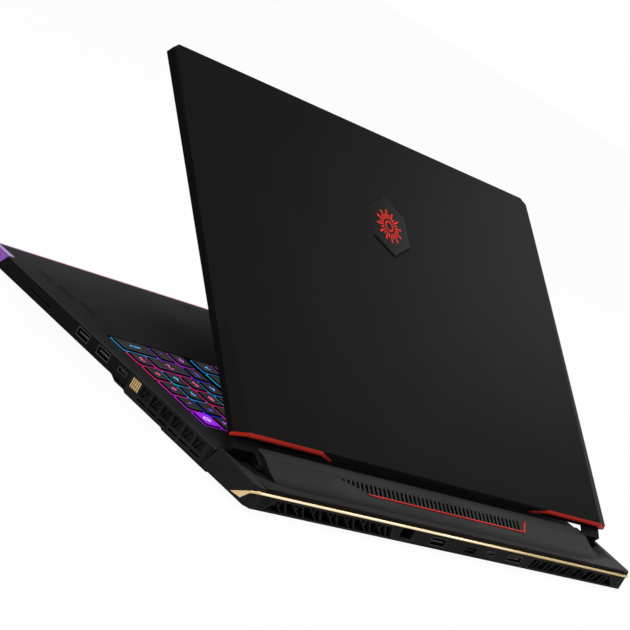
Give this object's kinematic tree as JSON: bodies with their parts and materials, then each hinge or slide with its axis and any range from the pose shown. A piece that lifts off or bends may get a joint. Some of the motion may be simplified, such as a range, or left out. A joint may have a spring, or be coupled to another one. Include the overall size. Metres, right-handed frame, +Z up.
{
  "type": "laptop_computer",
  "caption": "Wide black gaming laptop, lid part open, with a tail behind the hinges, red trim bars, a gold rear strip, lit keys, a light bar in front and fans inside.",
  "frame": {"origin": "on the table plane under the middle of the base, half way along its width and its depth", "axes": "X to the user's right along the keyboard, Y from the user to the rear, Z up; the lid stands part open at its rest angle"},
  "size_m": [0.38, 0.298, 0.1866],
  "materials": {
    "deck": "satin",
    "tail": "satin",
    "dark_plastic": "matte",
    "lid_metal": "satin",
    "hinge_metal": "satin",
    "red_trim": "satin",
    "gold": "polished",
    "light": "glossy",
    "keys": "matte",
    "touch_glass": "satin",
    "lid_plate": "glossy",
    "screen": "glossy",
    "socket_metal": "satin",
    "steel": "satin",
    "copper": "satin",
    "board": "matte",
    "rubber": "matte"
  },
  "bodies": {
    "base": {"top_case": "deck", "keyboard_plate": "dark_plastic", "side_vent_right": "dark_plastic", "side_vent_left": "dark_plastic", "bottom_cover": "dark_plastic", "bottom_screws": "steel", "rubber_feet": "rubber", "front_light_bar": "light", "light_corners": "light", "tail_cover": "tail", "corner_blocks": "tail", "gold_strip": "gold", "rear_panel": "tail", "rear_vents": "dark_plastic", "hump_grille": "dark_plastic", "grille_trim": "red_trim", "hinge_brackets": "steel", "usb_a_sockets": "socket_metal", "usb_c_sockets": "socket_metal", "card_reader": "socket_metal", "hdmi_socket": "socket_metal", "display_socket": "socket_metal", "power_inlet": "dark_plastic", "network_socket": "dark_plastic", "audio_jack": "dark_plastic", "fan_housings": "dark_plastic", "fin_stacks": "copper", "heat_pipes": "copper", "cold_plates": "copper", "main_board": "board", "memory_modules": "board", "storage_module": "board", "battery_pack": "dark_plastic", "speakers": "dark_plastic"},
    "lid": {"lid_cover": "lid_metal", "red_strips": "red_trim", "ribbed_band": "dark_plastic", "lid_plate": "lid_plate", "screen_bezel": "dark_plastic", "display_panel": "screen", "camera_module": "screen", "lid_bumpers": "rubber", "hinge_arm_right": "hinge_metal", "hinge_arm_left": "hinge_metal", "hinge_pins": "steel"},
    "function_keys": {"key_row_1": "keys"},
    "number_keys": {"key_row_2": "keys"},
    "upper_keys": {"key_row_3": "keys"},
    "home_keys": {"key_row_4": "keys"},
    "lower_keys": {"key_row_5": "keys"},
    "bottom_keys": {"key_row_6": "keys"},
    "space_key": {"space_bar": "keys"},
    "power_button": {"power_key": "keys"},
    "pad": {"touchpad": "touch_glass"},
    "right_fan": {"fan_rotor_right": "dark_plastic"},
    "left_fan": {"fan_rotor_left": "dark_plastic"}
  },
  "joints": [
    {"name": "lid_hinge", "type": "hinge", "parent": "base", "child": "lid", "pos_m": [0, 0.1212, 0.01605], "axis": [-1, 0, 0], "range_deg": [-37.1, 92.9]},
    {"name": "function_keys_travel", "type": "slide", "parent": "base", "child": "function_keys", "axis": [0, 0, -1], "range_m": [0, 0.0015], "stiffness_N_per_m": 6000, "springref_m": -0.0006},
    {"name": "number_keys_travel", "type": "slide", "parent": "base", "child": "number_keys", "axis": [0, 0, -1], "range_m": [0, 0.0015], "stiffness_N_per_m": 6000, "springref_m": -0.0006},
    {"name": "upper_keys_travel", "type": "slide", "parent": "base", "child": "upper_keys", "axis": [0, 0, -1], "range_m": [0, 0.0015], "stiffness_N_per_m": 6000, "springref_m": -0.0006},
    {"name": "home_keys_travel", "type": "slide", "parent": "base", "child": "home_keys", "axis": [0, 0, -1], "range_m": [0, 0.0015], "stiffness_N_per_m": 6000, "springref_m": -0.0006},
    {"name": "lower_keys_travel", "type": "slide", "parent": "base", "child": "lower_keys", "axis": [0, 0, -1], "range_m": [0, 0.0015], "stiffness_N_per_m": 6000, "springref_m": -0.0006},
    {"name": "bottom_keys_travel", "type": "slide", "parent": "base", "child": "bottom_keys", "axis": [0, 0, -1], "range_m": [0, 0.0015], "stiffness_N_per_m": 6000, "springref_m": -0.0006},
    {"name": "space_travel", "type": "slide", "parent": "base", "child": "space_key", "axis": [0, 0, -1], "range_m": [0, 0.0015], "stiffness_N_per_m": 350, "springref_m": -0.0006},
    {"name": "power_travel", "type": "slide", "parent": "base", "child": "power_button", "axis": [0, 0, -1], "range_m": [0, 0.0015], "stiffness_N_per_m": 350, "springref_m": -0.0006},
    {"name": "pad_click", "type": "slide", "parent": "base", "child": "pad", "axis": [0, 0, -1], "range_m": [0, 0.0004], "stiffness_N_per_m": 3000, "springref_m": -0.0004},
    {"name": "right_fan_spin", "type": "hinge", "parent": "base", "child": "right_fan", "pos_m": [0.098, 0.088, 0.0069], "axis": [0, 0, 1], "continuous": true},
    {"name": "left_fan_spin", "type": "hinge", "parent": "base", "child": "left_fan", "pos_m": [-0.098, 0.088, 0.0069], "axis": [0, 0, 1], "continuous": true}
  ]
}
